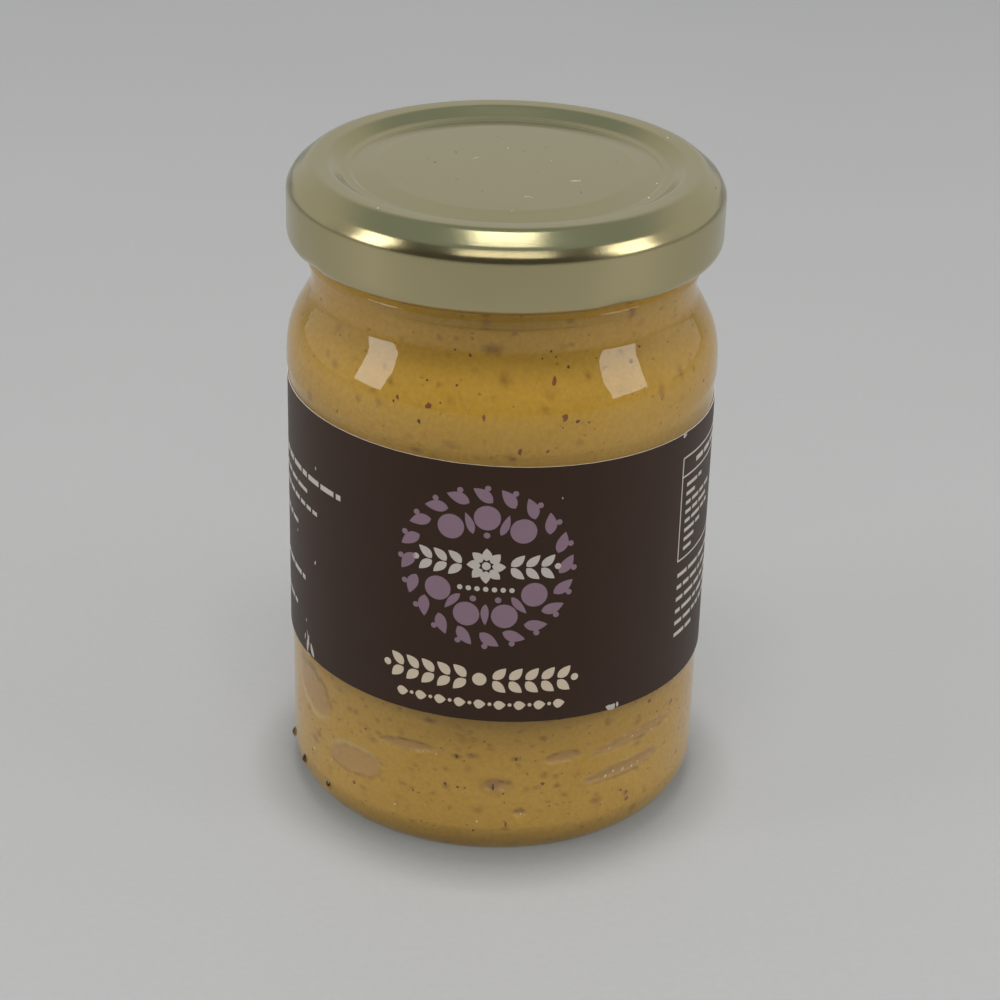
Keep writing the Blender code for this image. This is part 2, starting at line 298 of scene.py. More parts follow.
def mustardMaterial():
    # Wholegrain mustard paste: opaque ochre, ground bran as fine dark grit, and husks
    # that lie a little under the surface and so show as soft brown blurs.
    material, tree = newMaterial("wholegrainMustardPaste")
    place = addNode(tree, "ShaderNodeTexCoord").outputs["Object"]
    flow = addNode(tree, "ShaderNodeMapping", {"Scale": (1.0, 1.0, 1.8)}, {"Vector": place})
    broad = addNode(tree, "ShaderNodeTexNoise",
                    {"Scale": 70.0, "Detail": 4.0, "Roughness": 0.55, "Distortion": 0.6},
                    {"Vector": flow.outputs[0]})
    base = addNode(tree, "ShaderNodeMix", {6: hexColour("#c39434"), 7: hexColour("#cea045")},
                   {0: broad.outputs[0]}, data_type="RGBA")
    grit = addNode(tree, "ShaderNodeTexNoise", {"Scale": 1500.0, "Detail": 2.0}, {"Vector": place})
    gritTone = addNode(tree, "ShaderNodeMapRange",
                       {"From Min": 0.3, "From Max": 0.7, "To Min": 0.93, "To Max": 1.05},
                       {"Value": grit.outputs[0]})
    gritted = addNode(tree, "ShaderNodeVectorMath", links={0: base.outputs[2], 1: gritTone.outputs[0]},
                      operation="MULTIPLY")
    colour = gritted.outputs[0]
    # buried husks and bran: cell size in metres, share of cells, softness, tint
    layers = (
        (230.0, 0.07, 0.30, 0.05, 0.30, "#8a5a28"),
        (420.0, 0.12, 0.28, 0.06, 0.40, "#7f5022"),
        (800.0, 0.15, 0.26, 0.08, 0.50, "#6a441c"),
    )
    for scale, keep, reach, core, strength, tint in layers:
        stretch = addNode(tree, "ShaderNodeMapping",
                          {"Scale": (1.0, 1.0, 1.25), "Location": (scale * 0.013, scale * 0.007, 0.0)},
                          {"Vector": place})
        wobble = addNode(tree, "ShaderNodeTexNoise", {"Scale": scale * 1.6, "Detail": 1.0},
                         {"Vector": place})
        push = addNode(tree, "ShaderNodeVectorMath", {"Scale": 0.55 / scale}, {0: wobble.outputs["Color"]},
                       operation="SCALE")
        moved = addNode(tree, "ShaderNodeVectorMath", links={0: stretch.outputs[0], 1: push.outputs[0]},
                        operation="ADD")
        cells = addNode(tree, "ShaderNodeTexVoronoi", {"Scale": scale, "Randomness": 0.95},
                        {"Vector": moved.outputs[0]})
        near = addNode(tree, "ShaderNodeMapRange", {"From Min": reach, "From Max": core},
                       {"Value": cells.outputs["Distance"]}, interpolation_type="SMOOTHSTEP")
        pick = addNode(tree, "ShaderNodeSeparateColor", links={0: cells.outputs["Color"]})
        chosen = addNode(tree, "ShaderNodeMath", {1: keep}, {0: pick.outputs[0]}, operation="LESS_THAN")
        mask = addNode(tree, "ShaderNodeMath", links={0: near.outputs[0], 1: chosen.outputs[0]},
                       operation="MULTIPLY")
        amount = addNode(tree, "ShaderNodeMath", {1: strength}, {0: mask.outputs[0]}, operation="MULTIPLY")
        spotted = addNode(tree, "ShaderNodeMix", {7: hexColour(tint)}, {0: amount.outputs[0], 6: colour},
                          data_type="RGBA")
        colour = spotted.outputs[2]
    husk = addNode(tree, "ShaderNodeAttribute", attribute_name="husk")
    fray = addNode(tree, "ShaderNodeTexNoise", {"Scale": 2600.0, "Detail": 2.0}, {"Vector": place})
    frayed = addNode(tree, "ShaderNodeMath", {1: 0.35, 2: -0.17}, {0: fray.outputs[0]},
                     operation="MULTIPLY_ADD")
    edge = addNode(tree, "ShaderNodeMath", links={0: husk.outputs["Fac"], 1: frayed.outputs[0]},
                   operation="MULTIPLY_ADD")
    tree.links.new(husk.outputs["Fac"], edge.inputs[2])
    huskTone = addNode(tree, "ShaderNodeMix", {7: hexColour("#704322")}, {0: edge.outputs[0], 6: colour},
                       data_type="RGBA")
    dry = addNode(tree, "ShaderNodeAttribute", attribute_name="dry")
    dryShare = addNode(tree, "ShaderNodeMath", {1: 0.6}, {0: dry.outputs["Fac"]}, operation="MULTIPLY")
    colour = addNode(tree, "ShaderNodeMix", {7: hexColour("#bb9060")},
                     {0: dryShare.outputs[0], 6: huskTone.outputs[2]},
                     data_type="RGBA").outputs[2]
    # a pocket's edge: painted shade along one side and a painted highlight along the other
    rim = addNode(tree, "ShaderNodeAttribute", attribute_name="rim")
    # the dark tint is painted shade, the pale tint is a painted highlight
    for sign, strength, tint in ((1.0, 0.8, "#74501f"), (-1.0, 0.55, "#e0c795")):
        side = addNode(tree, "ShaderNodeMath", {1: sign * strength}, {0: rim.outputs["Fac"]},
                       operation="MULTIPLY",
                       use_clamp=True)
        colour = addNode(tree, "ShaderNodeMix", {7: hexColour(tint)}, {0: side.outputs[0], 6: colour},
                         data_type="RGBA").outputs[2]
    lumps = addNode(tree, "ShaderNodeBump", {"Strength": 0.35, "Distance": 0.0002},
                    {"Height": grit.outputs[0]})
    shader = addNode(tree, "ShaderNodeBsdfPrincipled",
                     {"Roughness": 0.42, "IOR": 1.4, "Specular IOR Level": 0.25},
                     {"Base Color": colour, "Normal": lumps.outputs[0]})
    addNode(tree, "ShaderNodeOutputMaterial", links={"Surface": shader.outputs[0]})
    return material


def paperMaterial():
    # Coated label paper, offset printed in dark brown: nearly flat ink with a faint
    # fibre tooth, and a low sheen that lifts towards the sides.
    material, tree = newMaterial("coatedPaperBrownInk")
    place = addNode(tree, "ShaderNodeTexCoord").outputs["Object"]
    cloud = addNode(tree, "ShaderNodeTexNoise", {"Scale": 120.0, "Detail": 5.0, "Roughness": 0.65},
                    {"Vector": place})
    fibre = addNode(tree, "ShaderNodeTexNoise", {"Scale": 2600.0, "Detail": 2.0}, {"Vector": place})
    ink = addNode(tree, "ShaderNodeMix", {6: hexColour("#321e12"), 7: hexColour("#3a2517")},
                  {0: cloud.outputs[0]}, data_type="RGBA")
    tooth = addNode(tree, "ShaderNodeMapRange", {"To Min": 0.9, "To Max": 1.1}, {"Value": fibre.outputs[0]})
    toned = addNode(tree, "ShaderNodeVectorMath", links={0: ink.outputs[2], 1: tooth.outputs[0]},
                    operation="MULTIPLY")
    rough = addNode(tree, "ShaderNodeMapRange", {"To Min": 0.40, "To Max": 0.52},
                    {"Value": cloud.outputs[0]})
    bump = addNode(tree, "ShaderNodeBump", {"Strength": 0.15, "Distance": 0.00003},
                   {"Height": fibre.outputs[0]})
    shader = addNode(tree, "ShaderNodeBsdfPrincipled", {"IOR": 1.48, "Specular IOR Level": 0.3},
                     {"Base Color": toned.outputs[0], "Roughness": rough.outputs[0],
                      "Normal": bump.outputs[0]})
    addNode(tree, "ShaderNodeOutputMaterial", links={"Surface": shader.outputs[0]})
    return material


def flatInkMaterial(name, low, high, roughness, patchSize):
    # a solid printed or bare-paper tone with a slight unevenness, patchSize in mm
    material, tree = newMaterial(name)
    place = addNode(tree, "ShaderNodeTexCoord").outputs["Object"]
    patch = addNode(tree, "ShaderNodeTexNoise",
                    {"Scale": 1000.0 / patchSize, "Detail": 4.0, "Roughness": 0.6},
                    {"Vector": place})
    tone = addNode(tree, "ShaderNodeMix", {6: hexColour(low), 7: hexColour(high)}, {0: patch.outputs[0]},
                   data_type="RGBA")
    bump = addNode(tree, "ShaderNodeBump", {"Strength": 0.12, "Distance": 0.00003},
                   {"Height": patch.outputs[0]})
    shader = addNode(tree, "ShaderNodeBsdfPrincipled", {"Roughness": roughness, "IOR": 1.48},
                     {"Base Color": tone.outputs[2], "Normal": bump.outputs[0]})
    addNode(tree, "ShaderNodeOutputMaterial", links={"Surface": shader.outputs[0]})
    return material


glassLook = glassMaterial()
tinLook = tinplateMaterial()
mustardLook = mustardMaterial()
paperLook = paperMaterial()
mauveLook = flatInkMaterial("mauveOffsetInk", "#8a6f80", "#937888", 0.5, 1.6)
creamLook = flatInkMaterial("creamOffsetInk", "#d6c4ad", "#e0d0bb", 0.5, 1.8)
whiteLook = flatInkMaterial("whiteOffsetInk", "#c3bab3", "#d3cbc5", 0.5, 1.2)
bareLook = flatInkMaterial("barePaperCore", "#b9ada4", "#d8d0c8", 0.8, 0.7)
huskLook = flatInkMaterial("mustardHusk", "#74401d", "#94592c", 0.5, 0.5)
branLook = flatInkMaterial("darkBranSpeck", "#4a2f14", "#6d471f", 0.5, 0.3)
# pale flecks that stand for glints: painted highlight
paintedHighlightLook = flatInkMaterial("clearLiquidGlint", "#f0e4cc", "#fdf6e6", 0.2, 0.4)
dirtLook = flatInkMaterial("darkDustGrain", "#2c2a1d", "#4b4732", 0.7, 0.3)
# pale specks are painted highlights; the pale scratches share this material
glintAndScratchLook = flatInkMaterial("brightMetalGrain", "#d6d2bd", "#e8e4d2", 0.35, 0.3)
print("materials ready")


# Glass jar

jar = {
    "sides": 192,
    "bodyRadius": 30.55,
    "panelRadius": 30.72,
    "shoulderRadius": 31.0,
    "neckRadius": 27.3,
    "beadRadius": 28.0,
    "boreRadius": 28.0,
    "neckBoreRadius": 24.6,
    "floorHeight": 1.5,
    "floorCrown": 0.7,
    "innerHeelRound": 3.6,
    "heelRound": 5.0,
    "wallRows": (14.0, 9.5, 8.0, 7.2, 6.6, 6.0, 5.5),
    "markAngles": (-82.0, -67.0, -52.0, -27.0, -3.5, 7.0),
    "markHeight": 4.7,
    "markWide": 0.85,
    "markTall": 1.1,
    "markRises": (0.5, 0.5, 0.5, 0.13, 0.13, 0.13),
}


def raiseMarks(mesh):
    # mould marks: the heel is cut finer round each and pushed out as one smooth blister
    centreRadius = jar["bodyRadius"] - jar["heelRound"]
    drop = jar["heelRound"] - jar["markHeight"]
    reach = centreRadius + math.sqrt(jar["heelRound"] ** 2 - drop ** 2)
    shape = bmesh.new()
    shape.from_mesh(mesh)
    for angle, height in zip(jar["markAngles"], jar["markRises"]):
        turn = math.radians(angle)
        spot = Vector((reach * math.sin(turn), -reach * math.cos(turn), jar["markHeight"])) * mm

        def near(vert, far):
            # on the outer skin and within reach, because the bore lies close behind
            across = math.hypot(vert.co.x, vert.co.y) / mm - centreRadius
            skin = math.hypot(across, min(0.0, vert.co.z / mm - jar["heelRound"]))
            return (vert.co - spot).length < far * mm and skin > jar["heelRound"] - 0.3

        cut = [e for e in shape.edges if near(e.verts[0], 2.3) and near(e.verts[1], 2.3)]
        bmesh.ops.subdivide_edges(shape, edges=cut, cuts=6, use_grid_fill=True)
        for vert in [v for v in shape.verts if near(v, 2.6)]:
            radius = math.hypot(vert.co.x, vert.co.y) / mm
            z = vert.co.z / mm
            along = math.radians(angleBetween(frontAngle(vert.co), angle)) * reach
            share = (along / jar["markWide"]) ** 2 + ((z - jar["markHeight"]) / jar["markTall"]) ** 2
            rise = height * max(0.0, 1.0 - share) ** 1.5
            out = Vector((radius - centreRadius, min(0.0, z - jar["heelRound"])))
            moved = out.normalized() * (jar["heelRound"] + rise)
            wide = (centreRadius + moved.x) / radius
            vert.co.x *= wide
            vert.co.y *= wide
            if z < jar["heelRound"]:
                vert.co.z = (jar["heelRound"] + moved.y) * mm
    shape.to_mesh(mesh)
    shape.free()


def buildJar():
    bore = jar["boreRadius"]
    neck = jar["neckRadius"]
    corners = (
        (0, jar["floorHeight"] + jar["floorCrown"]),
        (bore, jar["floorHeight"], jar["innerHeelRound"]),
        (bore, 71.2, 12),
        (jar["neckBoreRadius"], 77.7, 5),
        (jar["neckBoreRadius"], 95.6, 1.2),
        (neck, 95.6, 1.2),
        (neck, 83.9),
        (jar["beadRadius"], 83.7, 0.4),
        (jar["beadRadius"], 82.4, 0.4),
        (neck, 82.1, 0.5),
        (neck, 78.3, 5),
        (30.85, 72, 12),
        (jar["shoulderRadius"], 67.0, 1.5),
        (jar["panelRadius"], 65.3, 1.5),
        (jar["panelRadius"], 23.4, 2.0),
        (jar["bodyRadius"], 21.0, 2.0),
        *((jar["bodyRadius"], z) for z in jar["wallRows"]),
        (jar["bodyRadius"], 0, jar["heelRound"]),
        (19.6, 0, 1),
        (16.5, 1.3, 4),
        (0, 1.3),
    )
    mesh = turnedMesh("jar_wall", profileLine(corners, 6.0), jar["sides"], glassLook)
    raiseMarks(mesh)
    smooth(mesh, 32.0)
    return dress(linked("jar_wall", mesh), "glass", "jar_glass")


buildJar()
print("jar wall made")


# Twist-off lid

lid = {
    "sides": 240,
    "radius": 30.7,
    "bottom": 84.95,
    "thickness": 0.3,
    "plateauHeight": 95.3,
    "crownHeight": 96.3,
    "shoulderHeight": 92.9,
    "lugCount": 4,
    "lugFirst": 31.0,
    "lugHalfAngle": 8.0,
    "lugPress": 0.45,
    "lugReach": 2.6,
}


def lidOutside():
    # profile of the pressed sheet's outer face, from the middle to the curled edge
    top = lid["plateauHeight"]
    crown = lid["crownHeight"]
    return (
        (0, top),
        (17.9, top, 1.5),
        (21.5, top - 0.4, 0.25),
        (21.95, top - 0.25, 0.2),
        (23.0, top - 0.25, 0.9),
        (24.9, crown - 0.1, 1.4),
        (27.5, crown, 1.8),
        (29.8, crown - 1.9, 2.0),
        (lid["radius"], lid["shoulderHeight"], 2.4),
        (lid["radius"], lid["bottom"], 1.9),
    )


def buildLid():
    top = lid["plateauHeight"]
    crown = lid["crownHeight"]
    bottom = lid["bottom"]
    wall = lid["thickness"]
    inside = lid["radius"] - wall
    corners = (
        *lidOutside(),
        (28.5, bottom, 0.45),
        (28.5, bottom + 0.9, 0.3),
        (29.4, bottom + 1.1, 0.3),
        (inside, bottom + 2.6, 1.0),
        (inside, lid["shoulderHeight"] - 0.5, 2.0),
        (29.4, crown - 1.95 - wall),
        (27.2, crown - wall, 1.0),
        (25.0, crown - 0.1 - wall, 0.4),
        (23.1, top - 0.25 - wall, 0.4),
        (21.6, top - 0.4 - wall),
        (17.9, top - wall),
        (0, top - wall),
    )
    mesh = turnedMesh("lid_cap", profileLine(corners, 6.0), lid["sides"], tinLook)
    level = (bottom + lid["lugReach"]) * mm
    for vert in mesh.vertices:
        depth = max(0.0, level - vert.co.z) / (lid["lugReach"] * mm)
        for i in range(lid["lugCount"]):
            off = angleBetween(frontAngle(vert.co),
                               lid["lugFirst"] + i * 360 / lid["lugCount"]) / lid["lugHalfAngle"]
            if abs(off) < 1:
                press = lid["lugPress"] * mm * depth * (0.5 + 0.5 * math.cos(math.pi * off))
                radius = math.hypot(vert.co.x, vert.co.y)
                vert.co.x -= vert.co.x / radius * press
                vert.co.y -= vert.co.y / radius * press
    smooth(mesh, 30.0)
    return dress(linked("lid_cap", mesh), "lid_tinplate", "lid")


buildLid()
print("lid made")


# Mustard, drawn just into the glass so that no air shows where it is wetted

filling = {
    "sides": 448,
    "reach": 0.45,
    "fillHeight": 89.5,
    "fillDish": 1.2,
    "wrinkle": 0.35,
    "softSpots": 560,
    "seed": 23,
    # rows above this height are this far apart
    "rowGaps": ((84.0, 1.4), (61.5, 0.5), (30.0, 4.0), (25.5, 1.2), (5.0, 0.36), (3.5, 0.6)),
    # pockets of liquid between paste and glass: angle, height, half width, half height,
    # slope in degrees, depth, side that gets the painted shade along the edge (1 above, -1 below; the other
    # side gets a painted highlight)
    "pockets": (
        (-24.5, 17.2, 4.5, 0.85, 4.0, 0.40, 1),
        (-43.0, 11.2, 5.4, 2.5, 8.0, 0.22, -1),
        (-63.0, 18.4, 5.2, 3.6, -24.0, 0.16, 1),
        (20.5, 16.2, 2.6, 0.85, 4.0, 0.38, 1),
        (45.5, 16.2, 8.0, 0.85, 3.0, 0.34, -1),
        (41.0, 11.4, 7.8, 1.1, 2.0, 0.40, -1),
        (1.4, 12.2, 1.8, 0.95, 0.0, 0.20, 1),
        (8.3, 7.5, 0.9, 0.5, 0.0, 0.30, 1),
        (138.0, 14.0, 7.0, 1.2, -6.0, 0.36, -1),
        (-158.0, 13.0, 5.0, 1.7, 9.0, 0.30, 1),
    ),
    # buried husks seen in the photograph: angle, height, width, tall, strength
    "knownSpots": (
        (1.0, 12.1, 3.8, 2.4, 0.45), (0.6, 12.0, 1.9, 0.8, 0.9), (5.0, 12.8, 0.9, 0.7, 0.7),
        (-9.8, 16.8, 1.4, 0.7, 0.8), (-17.6, 22.2, 1.7, 0.9, 0.7), (14.5, 19.9, 1.3, 0.6, 0.7),
        (-30.0, 20.6, 0.9, 0.6, 0.5), (-34.0, 17.6, 0.9, 0.7, 0.5), (-5.0, 19.9, 1.0, 0.8, 0.4),
        (18.9, 11.5, 1.0, 0.7, 0.7), (21.4, 9.8, 0.9, 0.7, 0.7), (15.2, 13.5, 1.1, 0.8, 0.45),
        (34.4, 20.2, 1.0, 0.8, 0.6), (-12.9, 11.5, 0.9, 1.0, 0.6), (6.9, 16.7, 1.3, 0.6, 0.7),
        (-5.1, 84.0, 1.3, 3.4, 0.7), (40.9, 83.2, 1.2, 3.6, 0.75), (-2.5, 78.6, 3.0, 1.4, 0.7),
        (1.0, 74.6, 1.6, 1.6, 0.5), (24.9, 74.4, 0.9, 1.0, 0.5), (-31.5, 72.5, 1.0, 0.8, 0.5),
        (-36.4, 70.9, 1.3, 0.7, 0.5), (-34.0, 69.7, 1.4, 1.0, 0.4), (12.0, 71.0, 1.4, 0.8, 0.4),
        (-12.6, 14.4, 0.8, 0.6, 0.5), (18.5, 13.2, 0.8, 0.6, 0.5), (42.0, 7.0, 0.8, 0.7, 0.7),
        (4.4, 4.8, 0.9, 0.5, 0.7), (-22.0, 14.1, 0.7, 0.6, 0.45), (-37.7, 17.7, 0.8, 0.6, 0.4),
        (-22.8, 10.0, 0.8, 0.6, 0.5), (10.1, 11.5, 0.7, 0.7, 0.5), (-42.2, 19.5, 0.9, 0.7, 0.5),
        (-34.1, 19.6, 0.8, 0.6, 0.5), (15.4, 13.9, 0.7, 0.5, 0.5), (34.0, 20.8, 0.7, 0.8, 0.6),
        (46.1, 19.1, 0.8, 0.9, 0.5), (61.2, 17.9, 0.7, 0.8, 0.6), (-49.0, 10.7, 0.9, 0.8, 0.6),
        (-5.3, 17.1, 1.6, 0.8, 0.6), (31.5, 8.4, 0.7, 0.5, 0.45), (-6.0, 21.1, 0.8, 0.5, 0.45),
        (-40.9, 69.3, 0.9, 0.9, 0.5), (-52.0, 72.0, 1.2, 0.9, 0.4), (48.0, 70.4, 1.0, 1.8, 0.45),
        (57.0, 71.5, 1.0, 1.6, 0.45), (-13.0, 66.0, 2.2, 1.0, 0.4), (-22.6, 64.3, 1.5, 0.9, 0.6),
        (3.6, 64.3, 1.2, 0.8, 0.6), (37.0, 76.5, 1.0, 0.9, 0.45), (-62.0, 66.0, 1.3, 1.0, 0.5),
    ),
}


def pocketShape(angle, z):
    # depth of the recess, how far inside a pocket the spot is, and the painted edge shading: above zero a
    # painted shade, below zero a painted highlight
    depth = 0.0
    inside = 0.0
    rim = 0.0
    for spot, height, halfWidth, halfHeight, slope, deep, paintedShadeSide in filling["pockets"]:
        along = math.radians(angleBetween(angle, spot)) * jar["boreRadius"]
        up = z - height
        if abs(along) > halfWidth * 1.7 or abs(up) > halfWidth + halfHeight:
            continue
        tilt = math.radians(slope)
        u = (along * math.cos(tilt) + up * math.sin(tilt)) / halfWidth
        v = (up * math.cos(tilt) - along * math.sin(tilt)) / halfHeight
        here = Vector((along, up, spot))
        share = 1.0 - u * u - v * v + 0.26 * noise.noise(here * 0.6) + 0.14 * noise.noise(here * 1.8)
        # painted shade on one side of the pocket's edge, painted highlight on the other
        band = (1.0 - abs(share - 0.1) / 0.3) * v * paintedShadeSide
        if abs(band) > abs(rim) and abs(share - 0.1) < 0.3:
            rim = max(-1.0, min(1.0, band))
        if share > 0:
            ramp = min(1.0, share / 0.5)
            rough = 1.0 + filling["wrinkle"] * noise.noise(here * 1.3) + 0.25 * noise.noise(here * 3.1)
            depth = max(depth, deep * ramp * ramp * (3 - 2 * ramp) * rough)
            inside = max(inside, min(1.0, share / 0.3))
    return min(depth, filling["reach"] - 0.02), inside, rim


def fillingProfile():
    reach = filling["reach"]
    bore = jar["boreRadius"] + reach
    neck = jar["neckBoreRadius"] + reach
    fill = filling["fillHeight"]
    floor = jar["floorHeight"] - reach
    return profileLine((
        (0, fill - filling["fillDish"]),
        (neck * 0.6, fill - filling["fillDish"] * 0.6),
        (neck, fill),
        (neck, 77.7, 5),
        (bore, 71.2, 12),
        (bore, floor, jar["innerHeelRound"] + reach),
        (0, floor + jar["floorCrown"]),
    ), 7.0)


wallLine = [p for p in fillingProfile() if p.x > 20.0][1:]


def wallRadius(z):
    # the paste's own radius at a height, off its profile
    for high, low in zip(wallLine, wallLine[1:]):
        if low.y <= z <= high.y:
            share = (z - low.y) / max(1e-6, high.y - low.y)
            return low.x + (high.x - low.x) * share
    return wallLine[-1].x


def wallPoint(angle, z, lift=0.0):
    # a spot on the paste's outside and the way that it faces
    slope = (wallRadius(z + 0.3) - wallRadius(z - 0.3)) / 0.6
    turn = math.radians(angle)
    facing = Vector((math.sin(turn), -math.cos(turn), -slope)).normalized()
    radius = wallRadius(z) + lift
    return Vector((radius * math.sin(turn), -radius * math.cos(turn), z)) * mm, facing


def buriedSpots():
    # angle, height, width, tall, strength of the husks under the surface
    rng = random.Random(filling["seed"])
    spots = list(filling["knownSpots"])
    for _ in range(filling["softSpots"]):
        low = rng.random() < 0.8
        z = rng.uniform(3.0, 24.0) if low else rng.uniform(63.0, 80.0)
        wide = 0.4 + 1.0 * rng.random() ** 3
        spots.append((rng.uniform(-180, 180), z, wide * rng.uniform(0.8, 1.5), wide * rng.uniform(0.6, 1.0),
                      rng.uniform(0.15, 0.6 if low else 0.4)))
    return spots


def paintSpots(mesh):
    # writes the husk and dry attributes that the paste's material reads, and the painted shade and painted
    # highlight along pocket edges
    cells = {}
    for spot in buriedSpots():
        for step in (-1, 0, 1):
            cells.setdefault((int(spot[0] // 6) + step, int(spot[1] // 3)), []).append(spot)
            for side in (-1, 1):
                cells.setdefault((int(spot[0] // 6) + step, int(spot[1] // 3) + side), []).append(spot)
    husk = mesh.attributes.new("husk", "FLOAT", "POINT")
    dry = mesh.attributes.new("dry", "FLOAT", "POINT")
    rim = mesh.attributes.new("rim", "FLOAT", "POINT")
    huskValues = []
    dryValues = []
    paintedRimShadingValues = []
    for vert in mesh.vertices:
        angle = frontAngle(vert.co)
        z = vert.co.z / mm
        value = 0.0
        for spot, height, wide, tall, strength in cells.get((int(angle // 6), int(z // 3)), ()):
            along = math.radians(angleBetween(angle, spot)) * jar["boreRadius"]
            wander = noise.noise(Vector((along * 1.3, z * 1.3, spot))) * 0.5
            u = along / (wide * 0.5)
            v = (z - height) / (tall * 0.5)
            share = 1.15 - math.hypot(u, v) * 0.75 + wander * 0.6
            value = max(value, strength * max(0.0, min(1.0, share)))
        huskValues.append(value)
        # edge carries the painted shade and painted highlight of the pocket edges
        _, inside, edge = pocketShape(angle, z) if z < 24.5 else (0.0, 0.0, 0.0)
        dryValues.append(inside)
        paintedRimShadingValues.append(edge)
    husk.data.foreach_set("value", huskValues)
    dry.data.foreach_set("value", dryValues)
    rim.data.foreach_set("value", paintedRimShadingValues)


def buildMustard():
    def gapAt(z):
        # close rows in the two bands that show, wide ones behind the label and the lid
        for floor, gap in filling["rowGaps"]:
            if z > floor:
                return gap
        return 1.0

    points = spacedLine(fillingProfile(), gapAt)
    mesh = turnedMesh("mustard_paste", points, filling["sides"], mustardLook)
    bore = jar["boreRadius"] + filling["reach"]
    paintSpots(mesh)
    for vert in mesh.vertices:
        radius = math.hypot(vert.co.x, vert.co.y)
        z = vert.co.z / mm
        if radius < 0.6 * bore * mm or z > 24.5:
            continue
        inward = pocketShape(frontAngle(vert.co), z)[0] * mm / radius
        vert.co.x -= vert.co.x * inward
        vert.co.y -= vert.co.y * inward
    smooth(mesh, 60.0)
    return dress(linked("mustard_paste", mesh), "mustard_paste", "mustard")


buildMustard()
print("mustard made")


# Bits set in the paste against the glass: husk flakes and dark bran, and pale flecks that are painted
# highlights, scattered by node tree

bits = {
    "seed": 41,
    "lift": 0.02,
    "huskCount": 110,
    "branCount": 330,
    # seen in the photograph: angle, height, width, tall in mm
    "placedHusks": (
        (-19.3, 70.75, 1.0, 1.4), (17.3, 69.8, 1.3, 1.1), (14.8, 74.3, 1.9, 0.7), (-4.3, 70.0, 1.3, 0.6),
        (5.4, 65.5, 1.3, 0.7), (12.7, 65.4, 0.7, 0.6), (-9.4, 77.5, 0.9, 0.5), (39.6, 75.0, 0.9, 0.7),
        (44.1, 76.4, 0.6, 0.8), (48.2, 82.0, 0.7, 0.7), (-30.7, 83.2, 0.5, 0.9), (-55.1, 80.3, 0.7, 1.1),
        (-28.5, 71.0, 0.8, 0.5), (-6.5, 80.0, 0.7, 0.8), (29.3, 79.0, 0.8, 1.0), (29.8, 82.6, 0.7, 0.8),
    ),
    "placedBran": (
        (-21.8, 68.5, 0.7, 0.7), (20.7, 69.15, 0.7, 0.7), (-20.8, 73.7, 0.45, 0.5), (-12.2, 73.6, 0.5, 0.5),
        (-29.6, 70.4, 0.4, 0.5), (-16.2, 71.3, 0.35, 0.35), (-14.0, 78.1, 0.6, 0.4),
        (16.0, 77.3, 0.35, 0.35),
        (14.5, 78.2, 0.5, 0.45), (19.4, 75.8, 0.6, 0.6), (23.9, 68.8, 0.4, 0.4), (16.6, 68.5, 0.3, 0.3),
        (-9.8, 16.8, 1.2, 0.5), (6.9, 16.7, 0.8, 0.45), (0.6, 12.0, 1.6, 0.5), (-9.4, 11.6, 0.5, 0.5),
        (-22.5, 9.7, 0.5, 0.4), (42.5, 6.9, 0.7, 0.5), (10.2, 14.1, 0.4, 0.3), (-4.5, 4.3, 0.6, 0.5),
        (4.4, 5.6, 0.8, 0.35), (61.8, 18.1, 0.6, 0.6), (-38.4, 17.4, 0.5, 0.6), (-13.0, 11.9, 0.6, 0.7),
    ),
    # painted highlights: pale flecks laid where bubbles and bare glass catch the light
    "glints": (
        (-62.4, 8.0, 0.5, 0.35), (-28.2, 6.4, 0.5, 0.28), (-3.7, 6.0, 0.5, 0.26), (34.3, 11.2, 0.7, 0.3),
        (37.0, 11.6, 0.5, 0.35), (40.4, 11.3, 0.9, 0.28), (43.9, 11.1, 0.5, 0.3), (46.3, 11.4, 0.4, 0.25),
        (35.2, 15.8, 0.5, 0.2), (43.6, 16.3, 0.5, 0.22), (51.8, 15.7, 0.6, 0.2), (59.5, 15.3, 0.4, 0.2),
        (-15.7, 16.7, 0.6, 0.14), (-19.6, 16.8, 0.4, 0.14), (8.6, 7.3, 0.4, 0.2), (-52.9, 8.6, 0.4, 0.2),
    ),
}


def flakeMesh(name, rng, corners, thick):
    # thin rounded chip with its face along +Z
    shape = bmesh.new()
    radii = [rng.uniform(0.55, 1.0) for _ in range(corners)]
    rows = []
    for level, share in ((-thick, 0.55), (0, 1.0), (thick, 0.55)):
        row = []
        for i in range(corners):
            turn = 2 * math.pi * i / corners
            row.append(shape.verts.new((radii[i] * share * 0.5 * math.cos(turn),
                                        radii[i] * share * 0.5 * math.sin(turn), level)))
        rows.append(row)
    low = shape.verts.new((0, 0, -thick * 1.1))
    high = shape.verts.new((0, 0, thick * 1.1))
    for i in range(corners):
        j = (i + 1) % corners
        shape.faces.new((low, rows[0][j], rows[0][i]))
        shape.faces.new((high, rows[2][i], rows[2][j]))
        for a, b in ((0, 1), (1, 2)):
            shape.faces.new((rows[a][i], rows[a][j], rows[b][j], rows[b][i]))
    bmesh.ops.recalc_face_normals(shape, faces=shape.faces)
    mesh = bpy.data.meshes.new(name)
    shape.to_mesh(mesh)
    shape.free()
    return mesh


def flakeSet(name, count, corners, thick, seed):
    rng = random.Random(seed)
    group = bpy.data.collections.new(name)
    bpy.context.scene.collection.children.link(group)
    for i in range(count):
        chip = bpy.data.objects.new(f"{name}{i:02d}", flakeMesh(f"{name}{i:02d}", rng, corners, thick))
        group.objects.link(chip)
    return group


def removeSet(group):
    for chip in list(group.objects):
        bpy.data.objects.remove(chip)
    bpy.data.collections.remove(group)


